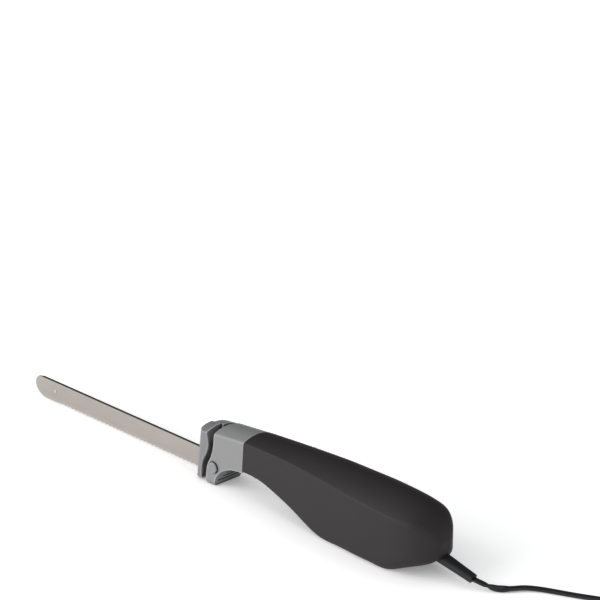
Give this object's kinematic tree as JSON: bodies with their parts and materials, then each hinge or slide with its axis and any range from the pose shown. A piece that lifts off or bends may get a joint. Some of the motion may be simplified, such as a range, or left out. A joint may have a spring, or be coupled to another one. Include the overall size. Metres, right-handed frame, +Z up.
{
  "type": "electric carving knife",
  "caption": "Electric carving knife with two counter-moving serrated blades, grey nose and guard, black handle with its motor, gears, trigger and cord.",
  "frame": {"origin": "middle of the knife's base without its cord, on the surface it rests on", "axes": "+X towards the cord end, -X towards the blade tip, -Y towards the knife's left side, +Z up"},
  "size_m": [0.6924, 0.1164, 0.0588],
  "materials": {
    "blade_steel": "satin",
    "steel": "satin",
    "spring_steel": "bright",
    "grey_plastic": "fine satin",
    "guard_plastic": "fine satin",
    "black_plastic": "fine satin",
    "inner_plastic": "satin",
    "nylon": "satin",
    "core_steel": "laminated",
    "winding_copper": "enamelled wire",
    "copper": "polished",
    "brass": "polished",
    "carbon": "matt",
    "bronze": "sintered",
    "zinc_steel": "zinc plated",
    "cord_vinyl": "semi-matt",
    "tie_paper": "matt"
  },
  "bodies": {
    "housing": {"nose_housing": "grey_plastic", "handle_shell_left": "black_plastic", "handle_shell_right": "black_plastic", "housing_screws": "zinc_steel", "slider_guide": "inner_plastic", "gear_frame": "inner_plastic", "gear_axle": "steel", "front_bearing": "bronze", "rear_bearing": "bronze", "stator_core": "core_steel", "field_coils": "winding_copper", "motor_bracket": "zinc_steel", "motor_studs": "zinc_steel", "brush_holders": "inner_plastic", "carbon_brushes": "carbon", "brush_springs": "spring_steel", "trigger_pin": "steel", "trigger_spring": "spring_steel", "switch_body": "inner_plastic", "strain_relief": "cord_vinyl", "cord_clamp": "cord_vinyl", "power_cord": "cord_vinyl", "cord_coil": "cord_vinyl", "cord_tie": "tie_paper", "plug_body": "cord_vinyl", "plug_prongs": "brass", "button_spring_left": "spring_steel", "button_spring_right": "spring_steel"},
    "left_drive": {"drive_slider_left": "nylon"},
    "right_drive": {"drive_slider_right": "nylon"},
    "left_blade": {"blade_left": "blade_steel", "guard_left": "guard_plastic", "blade_rivet": "steel"},
    "right_blade": {"blade_right": "blade_steel", "guard_right": "guard_plastic"},
    "left_latch": {"latch_rocker_left": "nylon"},
    "right_latch": {"latch_rocker_right": "nylon"},
    "left_release": {"release_button_left": "grey_plastic"},
    "right_release": {"release_button_right": "grey_plastic"},
    "trigger_lever": {"trigger": "black_plastic"},
    "plunger": {"switch_plunger": "inner_plastic"},
    "wheel": {"worm_wheel": "nylon", "eccentric_left": "nylon", "eccentric_right": "nylon"},
    "rotor": {"motor_shaft": "steel", "armature_core": "core_steel", "armature_winding": "winding_copper", "commutator": "copper", "cooling_fan": "nylon"}
  },
  "joints": [
    {"name": "left_stroke", "type": "slide", "parent": "housing", "child": "left_drive", "axis": [-1, 0, 0], "range_m": [-0.0039, 0.0011]},
    {"name": "right_stroke", "type": "slide", "parent": "housing", "child": "right_drive", "axis": [-1, 0, 0], "range_m": [-0.0011, 0.0039]},
    {"name": "left_blade_pull", "type": "slide", "parent": "left_drive", "child": "left_blade", "axis": [-1, 0, 0], "range_m": [0, 0.06]},
    {"name": "right_blade_pull", "type": "slide", "parent": "right_drive", "child": "right_blade", "axis": [-1, 0, 0], "range_m": [0, 0.06]},
    {"name": "left_release_press", "type": "slide", "parent": "housing", "child": "left_release", "axis": [0, 1, 0], "range_m": [0, 0.0018], "stiffness_N_per_m": 500, "springref_m": -0.003},
    {"name": "right_release_press", "type": "slide", "parent": "housing", "child": "right_release", "axis": [0, -1, 0], "range_m": [0, 0.0018], "stiffness_N_per_m": 500, "springref_m": -0.003},
    {"name": "left_latch_swing", "type": "hinge", "parent": "left_drive", "child": "left_latch", "pos_m": [0.0156, -0.0063, 0.0322], "axis": [0, 0, -1], "range_deg": [0, 17.3]},
    {"name": "right_latch_swing", "type": "hinge", "parent": "right_drive", "child": "right_latch", "pos_m": [0.0184, 0.0063, 0.0322], "axis": [0, 0, 1], "range_deg": [0, 17.3]},
    {"name": "trigger_press", "type": "hinge", "parent": "housing", "child": "trigger_lever", "pos_m": [0.0476, 0, 0.0224], "axis": [0, -1, 0], "range_deg": [0, 3.5], "stiffness_Nm_per_rad": 0.4, "springref_deg": -8.59, "deforming": ["trigger_spring"]},
    {"name": "switch_press", "type": "slide", "parent": "housing", "child": "plunger", "axis": [0, 0, 1], "range_m": [0, 0.0018]},
    {"name": "wheel_spin", "type": "hinge", "parent": "housing", "child": "wheel", "pos_m": [0.11, 0, 0.025], "axis": [0, 1, 0], "continuous": true},
    {"name": "rotor_spin", "type": "hinge", "parent": "housing", "child": "rotor", "pos_m": [0.11, 0, 0.037], "axis": [1, 0, 0], "continuous": true}
  ],
  "couplings": [
    {"joint": "right_stroke", "follows": "left_stroke", "ratio": -1},
    {"joint": "right_blade_pull", "follows": "left_blade_pull", "ratio": 1},
    {"joint": "left_latch_swing", "follows": "left_release_press", "rad_per_m": 166.67},
    {"joint": "right_latch_swing", "follows": "right_release_press", "rad_per_m": 166.67},
    {"joint": "switch_press", "follows": "trigger_press", "m_per_rad": 0.0269},
    {"joint": "rotor_spin", "follows": "wheel_spin", "ratio": -24}
  ]
}
